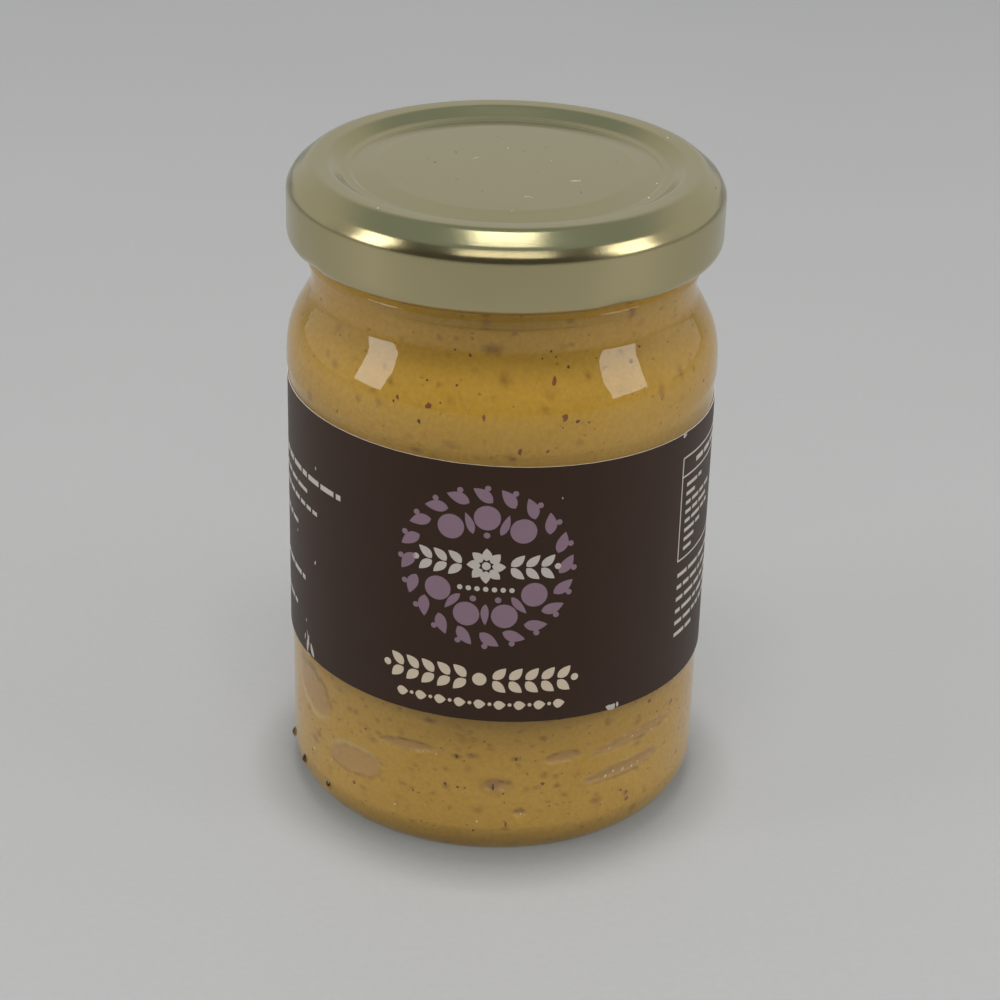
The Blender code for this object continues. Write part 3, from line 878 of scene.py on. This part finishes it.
def buildScatterTree():
    tree, given = newTree("scatterOnPoints", (
        ("Kinds", "NodeSocketCollection"),
        ("Material", "NodeSocketMaterial"),
    ))
    kinds = addNode(tree, "GeometryNodeCollectionInfo", {"Separate Children": True, "Reset Children": True},
                    {"Collection": given["Kinds"]})
    facing = addNode(tree, "GeometryNodeInputNamedAttribute", {"Name": "facing"}, data_type="FLOAT_VECTOR")
    spin = addNode(tree, "GeometryNodeInputNamedAttribute", {"Name": "spin"}, data_type="FLOAT")
    size = addNode(tree, "GeometryNodeInputNamedAttribute", {"Name": "size"}, data_type="FLOAT_VECTOR")
    kind = addNode(tree, "GeometryNodeInputNamedAttribute", {"Name": "kind"}, data_type="INT")
    aligned = addNode(tree, "FunctionNodeAlignRotationToVector", links={"Vector": facing.outputs[0]},
                      axis="Z")
    turned = addNode(tree, "FunctionNodeAxisAngleToRotation", {"Axis": (0, 0, 1)},
                     {"Angle": spin.outputs[0]})
    rotation = addNode(tree, "FunctionNodeRotateRotation",
                       links={0: aligned.outputs[0], 1: turned.outputs[0]}, rotation_space="LOCAL")
    placed = addNode(tree, "GeometryNodeInstanceOnPoints", {"Pick Instance": True},
                     {"Points": given["Geometry"], "Instance": kinds.outputs[0],
                      "Instance Index": kind.outputs[0],
                      "Rotation": rotation.outputs[0], "Scale": size.outputs[0]})
    closeTree(tree, placed.outputs[0], given["Material"])
    return tree


scatterTree = buildScatterTree()


def scatterMesh(name, spots, group, material):
    # each spot: place, facing, spin, size vector, kind
    points = bpy.data.meshes.new(name + "Points")
    points.from_pydata([s[0] for s in spots], [], [])
    facing = points.attributes.new("facing", "FLOAT_VECTOR", "POINT")
    facing.data.foreach_set("vector", [c for s in spots for c in s[1]])
    spin = points.attributes.new("spin", "FLOAT", "POINT")
    spin.data.foreach_set("value", [s[2] for s in spots])
    size = points.attributes.new("size", "FLOAT_VECTOR", "POINT")
    size.data.foreach_set("vector", [c for s in spots for c in s[3]])
    kind = points.attributes.new("kind", "INT", "POINT")
    kind.data.foreach_set("value", [s[4] for s in spots])
    return runTree(name, points, scatterTree, {"Kinds": group, "Material": material})


def bitSpots(rng, count, small, large, kinds, placed):
    spots = []
    for _ in range(count):
        angle = rng.uniform(-180, 180)
        z = rng.uniform(4.0, 23.5) if rng.random() < 0.7 else rng.uniform(63.5, 83.0)
        if pocketShape(angle, z)[1] > 0.0:
            continue
        width = small * (large / small) ** (rng.random() ** 2.2)
        spots.append((angle, z, width, width * rng.uniform(0.6, 1.3)))
    made = []
    for angle, z, width, tall in spots:
        place, facing = wallPoint(angle, z, bits["lift"])
        made.append((place, facing, rng.uniform(0, 6.28), Vector((width, tall, 1.0)) * mm,
                     rng.randrange(kinds)))
    for angle, z, width, tall in placed:
        place, facing = wallPoint(angle, z, bits["lift"])
        made.append((place, facing, math.pi / 2, Vector((width, tall, 1.0)) * mm, rng.randrange(kinds)))
    return made


def buildBits():
    rng = random.Random(bits["seed"])
    flakes = flakeSet("huskKind", 6, 9, 0.03, 7)
    husks = scatterMesh("husk_flakes", bitSpots(rng, bits["huskCount"], 0.3, 0.95, 6, bits["placedHusks"]),
                        flakes, huskLook)
    removeSet(flakes)
    grains = flakeSet("branKind", 5, 8, 0.03, 8)
    bran = scatterMesh("bran_specks", bitSpots(rng, bits["branCount"], 0.14, 0.42, 5, bits["placedBran"]),
                       grains, branLook)
    # pale flecks as painted highlights
    glints = scatterMesh("paste_glints", bitSpots(rng, 0, 0.2, 0.3, 5, bits["glints"]), grains, paintedHighlightLook)
    removeSet(grains)
    for mesh in (husks, bran, glints):
        smooth(mesh, 50.0)
        dress(linked(mesh.name, mesh), "mustard_paste")


buildBits()
print("husks and bran scattered")


# Dust, small scratches and bright grains on the lid, seen in the photograph; the bright grains are coloured
# pale as painted highlights

lidMarks = {
    "lift": 0.01,
    # x, y, size in mm
    "dark": (
        (-10.04, 0.96, 0.34), (-7.24, 5.49, 0.30), (-6.93, -5.91, 0.26), (-11.08, 2.58, 0.22),
        (2.34, 6.71, 0.26),
        (5.46, 8.72, 0.24), (-3.29, -10.5, 0.24), (10.1, -9.86, 0.28), (28.67, -5.57, 0.34),
        (-8.39, 26.06, 0.36),
        (11.61, 17.36, 0.26), (4.1, -2.2, 0.16), (-14.6, -6.1, 0.18), (15.3, 3.0, 0.16), (-1.6, 13.0, 0.18),
    ),
    # bright grains coloured pale as painted highlights where the lid glints
    "bright": (
        (0.07, 7.84, 0.22), (0.81, -18.03, 0.2), (22.8, 11.48, 0.3), (19.27, -10.74, 0.28),
        (20.64, -4.56, 0.26),
        (-16.78, -20.9, 0.3), (9.5, -5.44, 0.2), (6.2, 2.9, 0.14),
    ),
    # x, y, turn in degrees, length, width
    "scratches": ((9.5, -5.44, 5, 2.5, 0.09), (-4.4, 3.1, 38, 1.6, 0.06), (3.0, -12.4, -20, 1.9, 0.06)),
}


def lidPlace(x, y):
    # height of the lid under a spot, and the way that it faces there
    line = profileLine((*lidOutside()[:-1], (lid["radius"], lid["bottom"])), 6.0)
    radius = math.hypot(x, y)
    for inner, outer in zip(line, line[1:]):
        if inner.x <= radius <= outer.x:
            share = (radius - inner.x) / max(1e-6, outer.x - inner.x)
            z = inner.y + (outer.y - inner.y) * share
            slope = (outer.y - inner.y) / max(1e-6, outer.x - inner.x)
            facing = Vector((-slope * x / radius, -slope * y / radius, 1.0)).normalized()
            return (Vector((x, y, z)) + facing * lidMarks["lift"]) * mm, facing
    raise ValueError("spot is off the lid")


def buildLidMarks():
    rng = random.Random(17)
    chips = flakeSet("lidChip", 5, 7, 0.03, 11)
    dark = [(*lidPlace(x, y), rng.uniform(0, 6.28), Vector((size, size * rng.uniform(0.6, 1.0), 1.0)) * mm,
             rng.randrange(5)) for x, y, size in lidMarks["dark"]]
    bright = [(*lidPlace(x, y), rng.uniform(0, 6.28),
               Vector((size, size * rng.uniform(0.5, 0.9), 1.0)) * mm,
               rng.randrange(5)) for x, y, size in lidMarks["bright"]]
    for x, y, turn, length, width in lidMarks["scratches"]:
        place, facing = lidPlace(x, y)
        bright.append((place, facing, math.radians(turn), Vector((length, width, 0.6)) * mm, 0))
    for name, spots, look in (("lid_dust", dark, dirtLook), ("lid_glints", bright, glintAndScratchLook)):
        dress(linked(name, scatterMesh(name, spots, chips, look)), "lid_tinplate")
    removeSet(chips)


buildLidMarks()
print("lid marks scattered")


# Paper label and its print, laid out flat: arc from the front in mm, height in mm

label = {
    "radius": 30.88,
    "thickness": 0.12,
    "bottom": 24.0,
    "top": 63.85,
    "skew": 0.030,
    "gap": 4.0,
    "lift": 0.03,
    "sink": 0.02,
}


def labelPoint(arc, height, out=0.0):
    radius = label["radius"] + out
    turn = arc / label["radius"]
    x = radius * math.sin(turn)
    return Vector((x, -radius * math.cos(turn), height - label["skew"] * x)) * mm


def buildLabel():
    half = math.pi * label["radius"] - label["gap"] / 2
    columns = 420
    rows = 26
    shape = bmesh.new()
    grids = []
    for out in (0.0, -label["thickness"]):
        grid = []
        for i in range(columns + 1):
            arc = -half + 2 * half * i / columns
            wander = 0.03 * noise.noise(Vector((arc * 0.4, 3.0, 0.0)))
            line = []
            for j in range(rows + 1):
                height = label["bottom"] + (label["top"] - label["bottom"]) * j / rows
                line.append(shape.verts.new(labelPoint(arc, height + wander, out)))
            grid.append(line)
        grids.append(grid)
    outer, inner = grids
    for i in range(columns):
        for j in range(rows):
            shape.faces.new((outer[i][j], outer[i + 1][j], outer[i + 1][j + 1], outer[i][j + 1]))
            shape.faces.new((inner[i][j], inner[i][j + 1], inner[i + 1][j + 1], inner[i + 1][j]))
        for j in (0, rows):
            edge = shape.faces.new((outer[i][j], inner[i][j], inner[i + 1][j], outer[i + 1][j]))
            edge.material_index = 1
    for i in (0, columns):
        for j in range(rows):
            edge = shape.faces.new((outer[i][j], outer[i][j + 1], inner[i][j + 1], inner[i][j]))
            edge.material_index = 1
    bmesh.ops.recalc_face_normals(shape, faces=shape.faces)
    mesh = bpy.data.meshes.new("label_paper")
    shape.to_mesh(mesh)
    shape.free()
    mesh.materials.append(paperLook)
    mesh.materials.append(bareLook)
    smooth(mesh, 30.0)
    return dress(linked("label_paper", mesh), "label_paper", "label")


def buildPrintTree():
    # motifs stand on flat points, then the whole sheet is wrapped round the jar
    tree, given = newTree("printWrappedRound", (
        ("Kinds", "NodeSocketCollection"),
        ("Radius", "NodeSocketFloat"),
        ("Skew", "NodeSocketFloat"),
        ("Material", "NodeSocketMaterial"),
    ))
    kinds = addNode(tree, "GeometryNodeCollectionInfo", {"Separate Children": True, "Reset Children": True},
                    {"Collection": given["Kinds"]})
    spin = addNode(tree, "GeometryNodeInputNamedAttribute", {"Name": "spin"}, data_type="FLOAT")
    size = addNode(tree, "GeometryNodeInputNamedAttribute", {"Name": "size"}, data_type="FLOAT_VECTOR")
    kind = addNode(tree, "GeometryNodeInputNamedAttribute", {"Name": "kind"}, data_type="INT")
    turned = addNode(tree, "FunctionNodeAxisAngleToRotation", {"Axis": (0, 0, 1)},
                     {"Angle": spin.outputs[0]})
    placed = addNode(tree, "GeometryNodeInstanceOnPoints", {"Pick Instance": True},
                     {"Points": given["Geometry"], "Instance": kinds.outputs[0],
                      "Instance Index": kind.outputs[0],
                      "Rotation": turned.outputs[0], "Scale": size.outputs[0]})
    flat = addNode(tree, "GeometryNodeRealizeInstances", links={0: placed.outputs[0]})
    where = addNode(tree, "GeometryNodeInputPosition")
    parts = addNode(tree, "ShaderNodeSeparateXYZ", links={0: where.outputs[0]})
    angle = addNode(tree, "ShaderNodeMath", links={0: parts.outputs["X"], 1: given["Radius"]},
                    operation="DIVIDE")
    out = addNode(tree, "ShaderNodeMath", links={0: parts.outputs["Z"], 1: given["Radius"]},
                  operation="ADD")
    sine = addNode(tree, "ShaderNodeMath", links={0: angle.outputs[0]}, operation="SINE")
    cosine = addNode(tree, "ShaderNodeMath", links={0: angle.outputs[0]}, operation="COSINE")
    x = addNode(tree, "ShaderNodeMath", links={0: sine.outputs[0], 1: out.outputs[0]}, operation="MULTIPLY")
    back = addNode(tree, "ShaderNodeMath", links={0: cosine.outputs[0], 1: out.outputs[0]},
                   operation="MULTIPLY")
    y = addNode(tree, "ShaderNodeMath", {1: -1.0}, {0: back.outputs[0]}, operation="MULTIPLY")
    fall = addNode(tree, "ShaderNodeMath", links={0: x.outputs[0], 1: given["Skew"]}, operation="MULTIPLY")
    z = addNode(tree, "ShaderNodeMath", links={0: parts.outputs["Y"], 1: fall.outputs[0]},
                operation="SUBTRACT")
    wrapped = addNode(tree, "ShaderNodeCombineXYZ",
                      links={0: x.outputs[0], 1: y.outputs[0], 2: z.outputs[0]})
    moved = addNode(tree, "GeometryNodeSetPosition",
                    links={"Geometry": flat.outputs[0], "Position": wrapped.outputs[0]})
    closeTree(tree, moved.outputs[0], given["Material"])
    return tree


printTree = buildPrintTree()


def slabFromRows(name, rows):
    # a flat shape given as rows of points, made a thin slab of ink
    top = label["lift"] * mm
    low = -label["sink"] * mm
    shape = bmesh.new()
    upper = [[shape.verts.new((x, y, top)) for x, y in row] for row in rows]
    lower = [[shape.verts.new((x, y, low)) for x, y in row] for row in rows]
    across = len(rows[0])
    for i in range(len(rows) - 1):
        for j in range(across - 1):
            shape.faces.new((upper[i][j], upper[i + 1][j], upper[i + 1][j + 1], upper[i][j + 1]))
            shape.faces.new((lower[i][j], lower[i][j + 1], lower[i + 1][j + 1], lower[i + 1][j]))
        for j in (0, across - 1):
            shape.faces.new((upper[i][j], lower[i][j], lower[i + 1][j], upper[i + 1][j]))
    for i in (0, len(rows) - 1):
        for j in range(across - 1):
            shape.faces.new((upper[i][j], upper[i][j + 1], lower[i][j + 1], lower[i][j]))
    bmesh.ops.remove_doubles(shape, verts=shape.verts, dist=1e-5)
    bmesh.ops.dissolve_degenerate(shape, dist=1e-6, edges=shape.edges)
    bmesh.ops.recalc_face_normals(shape, faces=shape.faces)
    mesh = bpy.data.meshes.new(name)
    shape.to_mesh(mesh)
    shape.free()
    return mesh


def leafRows(belly, bend, steps=10, across=4):
    # one unit long, from the stem at the origin towards +Y
    rows = []
    for i in range(steps + 1):
        share = 0.004 + 0.992 * i / steps
        half = belly * math.sin(math.pi * share ** 0.8) ** 0.85 / 2
        middle = bend * math.sin(math.pi * share)
        rows.append([(middle + half * (2 * j / across - 1), share) for j in range(across + 1)])
    return rows


def discRows(steps=12, across=4):
    rows = []
    for i in range(steps + 1):
        turn = math.pi * (0.02 + 0.96 * i / steps)
        half = math.sin(turn) / 2
        rows.append([(half * (2 * j / across - 1), -math.cos(turn) / 2) for j in range(across + 1)])
    return rows


def barRows(steps, across=2):
    return [[(i / steps - 0.5, j / across - 0.5) for j in range(across + 1)] for i in range(steps + 1)]


def motifSet(name, shapes):
    group = bpy.data.collections.new(name)
    bpy.context.scene.collection.children.link(group)
    for i, rows in enumerate(shapes):
        kind = bpy.data.objects.new(f"{name}{i:02d}", slabFromRows(f"{name}{i:02d}", rows))
        group.objects.link(kind)
    return group


leafKind = 0
slimLeafKind = 1
discKind = 2
shortBarKind = 3
longBarKind = 4
motifShapes = (leafRows(0.42, 0.03), leafRows(0.26, -0.05), discRows(), barRows(3), barRows(24))


def printedPiece(name, marks, material, slotName):
    # each mark: arc, height, turn in degrees, width, length, kind
    points = bpy.data.meshes.new(name + "Points")
    points.from_pydata([(m[0] * mm, m[1] * mm, 0) for m in marks], [], [])
    spin = points.attributes.new("spin", "FLOAT", "POINT")
    spin.data.foreach_set("value", [math.radians(m[2]) for m in marks])
    size = points.attributes.new("size", "FLOAT_VECTOR", "POINT")
    size.data.foreach_set("vector", [c for m in marks for c in (m[3] * mm, m[4] * mm, 1.0)])
    kind = points.attributes.new("kind", "INT", "POINT")
    kind.data.foreach_set("value", [m[5] for m in marks])
    group = motifSet(name + "Motif", motifShapes)
    mesh = runTree(name, points, printTree, {
        "Kinds": group, "Radius": label["radius"] * mm, "Skew": label["skew"], "Material": material})
    removeSet(group)
    return dress(linked(name, mesh), slotName)


buildLabel()

rosette = {
    "arc": -1.4,
    "height": 48.3,
    "clearUp": 0.4,
    "clearHalf": 4.2,
    "clearReach": 9.4,
}


def ringMarks(count, radius, turnOffset, width, length, kind, lean=0.0, start=0.0):
    marks = []
    for i in range(count):
        turn = 360 * i / count + start
        way = math.radians(turn)
        marks.append((rosette["arc"] + radius * math.sin(way), rosette["height"] + radius * math.cos(way),
                      -turn + turnOffset + lean, width, length, kind))
    return marks


def rosetteMarks():
    # rings of leaves and berries, all plain repeats, with a clear band across the middle
    marks = []
    marks += ringMarks(9, 7.75, 0, 3.7, 3.7, discKind)
    marks += ringMarks(9, 5.55, 0, 2.7, 3.3, leafKind, start=20)
    marks += ringMarks(9, 5.1, 0, 0.9, 0.9, discKind)
    marks += ringMarks(20, 10.15, 0, 4.0, 3.3, leafKind, lean=58, start=4)
    marks += ringMarks(20, 12.2, 0, 0.85, 0.85, discKind)
    clear = rosette["clearHalf"]
    return [m for m in marks if abs(m[1] - rosette["height"] - rosette["clearUp"]) > clear
            or abs(m[0] - rosette["arc"]) > rosette["clearReach"]]


def blossomMarks():
    # a spray of leaves on both sides of one blossom, over a row of small seeds
    middle = rosette["arc"]
    height = rosette["height"] + rosette["clearUp"]
    marks = [(middle, height, 0, 1.2, 1.2, discKind)]
    for i in range(8):
        way = math.radians(45 * i)
        marks.append((middle + 0.8 * math.sin(way), height + 0.8 * math.cos(way), -45 * i, 3.3, 1.9,
                      leafKind))
    for side in (-1, 1):
        for i in range(3):
            foot = middle + side * (3.4 + 2.1 * i)
            for up in (-1, 1):
                marks.append((foot, height + 0.15 * up, -side * (90 - up * 42), 3.0, 2.5, leafKind))
        marks.append((middle + side * 9.9, height, 0, 0.9, 0.9, discKind))
    for i in range(7):
        marks.append((middle - 3.6 + 1.2 * i, height - 3.6, 0, 0.75, 0.75, discKind))
    return marks


printedPiece("label_wreath", rosetteMarks(), mauveLook, "label_paper")
printedPiece("label_blossom", blossomMarks(), whiteLook, "label_paper")

border = {
    "left": -16.0,
    "right": 12.0,
    "height": 30.75,
    "tall": 3.5,
    "lowLeft": -14.6,
    "lowRight": 10.8,
    "lowHeight": 26.8,
    "lowTall": 2.4,
}


def borderMarks():
    # a laurel divider over a row of seeds and dots
    marks = []
    middle = (border["left"] + border["right"]) / 2
    marks.append((middle, border["height"], 0, 2.0, 2.0, discKind))
    for side in (-1, 1):
        for i in range(5):
            foot = middle + side * (1.9 + 2.3 * i)
            for up in (-1, 1):
                marks.append((foot, border["height"] + 0.2 * up, -side * (90 - up * 44), 3.4, 2.5,
                              leafKind))
        marks.append((middle + side * 13.6, border["height"], 0, 1.1, 1.1, discKind))
    count = 9
    step = (border["lowRight"] - border["lowLeft"]) / count
    for i in range(count):
        spot = border["lowLeft"] + step * (i + 0.5)
        marks.append((spot - 0.85, border["lowHeight"], -90, 3.4, 1.7, leafKind))
        if i < count - 1:
            marks.append((spot + step / 2, border["lowHeight"], 0, 0.55, 0.55, discKind))
    return marks


printedPiece("label_border", borderMarks(), creamLook, "label_paper")


def barLine(rng, left, right, height, tall):
    # a line of plain bars of mixed length
    marks = []
    here = left
    while here < right - 0.5:
        length = min(rng.uniform(1.2, 3.6), right - here)
        marks.append((here + length / 2, height, 0, length, tall, shortBarKind))
        here += length + 0.55
    return marks


def lineMarks():
    # ruled panel on the right, short plain lines on both sides
    rng = random.Random(5)
    marks = []
    left = 30.4
    width = 21.0
    for height in (59.9, 56.9, 43.6):
        marks.append((left + width / 2, height, 0, width, 0.24, longBarKind))
    for arc in (left, left + width):
        marks.append((arc, 51.75, 90, 16.3, 0.24, longBarKind))
    marks += barLine(rng, left + 4.0, left + width - 2, 58.4, 0.75)
    for i, length in enumerate((5.2, 3.0, 9.5, 8.6, 9.0, 5.6, 4.2, 3.4)):
        height = 55.3 - 1.45 * i
        marks += barLine(rng, left + 1.4, left + 1.4 + length, height, 0.55)
        marks += barLine(rng, left + width - 5.0, left + width - 1.0, height, 0.55)
    for i in range(6):
        marks += barLine(rng, left + 0.2, left + (rng.uniform(12.0, 19.0) if i < 5 else 6.0),
                         41.2 - 1.95 * i, 0.6)
    for end, height, length, tall in ((-24.3, 53.2, 26.0, 0.8), (-32.0, 50.6, 18.0, 0.6),
                                      (-30.0, 48.2, 20.0, 0.6),
                                      (-36.8, 44.0, 14.0, 0.6), (-34.0, 36.2, 16.0, 0.7),
                                      (-37.5, 30.4, 10.0, 0.6)):
        marks += barLine(rng, end - length, end, height, tall)
    return marks


def scuffMarks():
    # the ink is rubbed off the paper here: arc, height, turn, width, length, kind
    return [
        (-32.9, 25.6, 20, 0.9, 2.3, slimLeafKind), (-33.6, 24.1, -12, 2.6, 3.2, slimLeafKind),
        (-31.4, 24.2, 25, 3.0, 2.2, slimLeafKind), (-32.4, 24.05, 90, 0.7, 1.4, slimLeafKind),
        (-34.4, 25.8, -8, 1.1, 1.2, slimLeafKind), (18.0, 24.05, 62, 2.0, 1.3, leafKind),
        (17.6, 24.05, -50, 2.2, 1.1, leafKind), (18.9, 24.1, 8, 1.0, 0.9, leafKind),
        (30.2, 63.2, 8, 1.6, 0.65, leafKind), (30.5, 63.3, -30, 0.9, 0.55, slimLeafKind),
        (-30.16, 55.2, 15, 0.9, 0.55, slimLeafKind), (-30.76, 39.9, -20, 1.1, 0.8, slimLeafKind),
        (-37.08, 42.2, 0, 0.8, 0.5, slimLeafKind), (-33.69, 29.1, 30, 0.8, 0.5, slimLeafKind),
        (8.84, 58.9, 10, 0.6, 0.35, slimLeafKind), (-60.0, 24.05, 10, 2.2, 1.2, slimLeafKind),
        (71.0, 24.1, 60, 1.8, 1.1, leafKind), (-80.0, 63.3, 12, 1.4, 0.5, leafKind),
    ]


printedPiece("label_lines", lineMarks(), whiteLook, "label_paper")
printedPiece("label_scuffs", scuffMarks(), bareLook, "label_paper")
print("label printed")


# Table top, lamps, sky and camera

def tableMaterial():
    # Matt melamine table top: pale neutral grey, nearly plain, with a soft uneven tone
    material, tree = newMaterial("paleMelamine")
    place = addNode(tree, "ShaderNodeTexCoord").outputs["Object"]
    cloud = addNode(tree, "ShaderNodeTexNoise", {"Scale": 9.0, "Detail": 4.0}, {"Vector": place})
    grain = addNode(tree, "ShaderNodeTexNoise", {"Scale": 900.0, "Detail": 2.0}, {"Vector": place})
    both = addNode(tree, "ShaderNodeMath", links={0: cloud.outputs[0], 1: grain.outputs[0]},
                   operation="MULTIPLY")
    tone = addNode(tree, "ShaderNodeMix", {6: hexColour("#8e8f92"), 7: hexColour("#96979a")},
                   {0: both.outputs[0]}, data_type="RGBA")
    bump = addNode(tree, "ShaderNodeBump", {"Strength": 0.08, "Distance": 0.0001},
                   {"Height": grain.outputs[0]})
    shader = addNode(tree, "ShaderNodeBsdfPrincipled", {"Roughness": 0.62},
                     {"Base Color": tone.outputs[2], "Normal": bump.outputs[0]})
    addNode(tree, "ShaderNodeOutputMaterial", links={"Surface": shader.outputs[0]})
    return material


table = {
    "half": 3.0,
    "cells": 24,
}


def buildTable():
    shape = bmesh.new()
    bmesh.ops.create_grid(shape, x_segments=table["cells"], y_segments=table["cells"], size=table["half"])
    mesh = bpy.data.meshes.new("tableTop")
    shape.to_mesh(mesh)
    shape.free()
    mesh.materials.append(tableMaterial())
    top = linked("tableTop", mesh)
    return top


buildTable()

lamps = {
    # name: place, aim, width, height, watts, colour, shown in reflections
    "overhead": ((0.0, 0.045, 1.748), (0, 0, 0.05), 0.20, 0.16, 24.0, "#fff9f0", False),
    "softTop": ((0.0, -0.595, 1.642), (0, 0, 0.05), 0.72, 0.50, 12.0, "#fffdf4", False),
    "lidGlint": ((0.0, -0.147, 1.34), (0, 0, 0.05), 0.44, 0.28, 1.4, "#ffffff", True),
    "frontTop": ((0.0, -1.13, 1.03), (0, 0, 0.05), 1.1, 0.13, 1.5, "#fffaf4", True),
    "leftSide": ((-0.408, -0.148, 0.235), (0, 0, 0.07), 0.14, 0.26, 0.46, "#fffdfa", True),
    "rightSide": ((0.400, -0.165, 0.235), (0, 0, 0.07), 0.18, 0.26, 0.50, "#fffdfa", True),
}


def buildLamps():
    for name, (place, aim, width, height, watts, colour, shown) in lamps.items():
        lamp = bpy.data.lights.new(name, "AREA")
        lamp.shape = "RECTANGLE"
        lamp.size = width
        lamp.size_y = height
        lamp.energy = watts
        lamp.color = hexColour(colour)[:3]
        holder = linked(name, lamp)
        holder.visible_glossy = shown
        holder.location = place
        holder.rotation_euler = (Vector(aim) - Vector(place)).to_track_quat("-Z", "Y").to_euler()


buildLamps()


def buildSky():
    # soft room light: pale low down at the back, dim at the front, greener overhead
    world = bpy.data.worlds.new("room")
    world.use_nodes = True
    tree = world.node_tree
    tree.nodes.clear()
    way = addNode(tree, "ShaderNodeTexCoord").outputs["Generated"]
    parts = addNode(tree, "ShaderNodeSeparateXYZ", links={0: way})
    behind = addNode(tree, "ShaderNodeMapRange", {"From Min": -0.35, "From Max": 0.30},
                     {"Value": parts.outputs["Y"]}, interpolation_type="SMOOTHSTEP")
    low = addNode(tree, "ShaderNodeMix", {6: (0.075, 0.07, 0.06, 1), 7: (0.54, 0.55, 0.54, 1)},
                  {0: behind.outputs[0]}, data_type="RGBA")
    high = addNode(tree, "ShaderNodeMapRange", {"From Min": 0.55, "From Max": 0.80},
                   {"Value": parts.outputs["Z"]}, interpolation_type="SMOOTHSTEP")
    tone = addNode(tree, "ShaderNodeMix", {7: (0.30, 0.36, 0.37, 1)},
                   {0: high.outputs[0], 6: low.outputs[2]},
                   data_type="RGBA")
    glow = addNode(tree, "ShaderNodeBackground", {"Strength": 1.0}, {"Color": tone.outputs[2]})
    addNode(tree, "ShaderNodeOutputWorld", links={"Surface": glow.outputs[0]})
    bpy.context.scene.world = world


buildSky()

view = {
    "distance": 0.32737178,
    "height": 0.20795111,
    "yaw": 0.00077147518,
    "pitch": 0.46582432,
    "roll": 0.02650295,
    "focalPixels": 2469.4245,
    "framePixels": 1000,
    "sensor": 36.0,
}


def buildCamera():
    data = bpy.data.cameras.new("view")
    data.sensor_width = view["sensor"]
    data.lens = view["focalPixels"] / view["framePixels"] * view["sensor"]
    data.clip_start = 0.01
    data.clip_end = 20.0
    holder = linked("view", data)
    turned = Matrix.Rotation(-view["yaw"], 4, "Z") @ Matrix.Rotation(math.pi / 2 - view["pitch"], 4, "X")
    turned = turned @ Matrix.Rotation(view["roll"], 4, "Z")
    holder.matrix_world = Matrix.Translation((0, -view["distance"], view["height"])) @ turned
    bpy.context.scene.camera = holder


buildCamera()
bpy.context.scene.view_settings.view_transform = "Standard"
bpy.context.scene.view_settings.look = "None"
print("table, lamps and camera set")

bpy.context.view_layer.update()
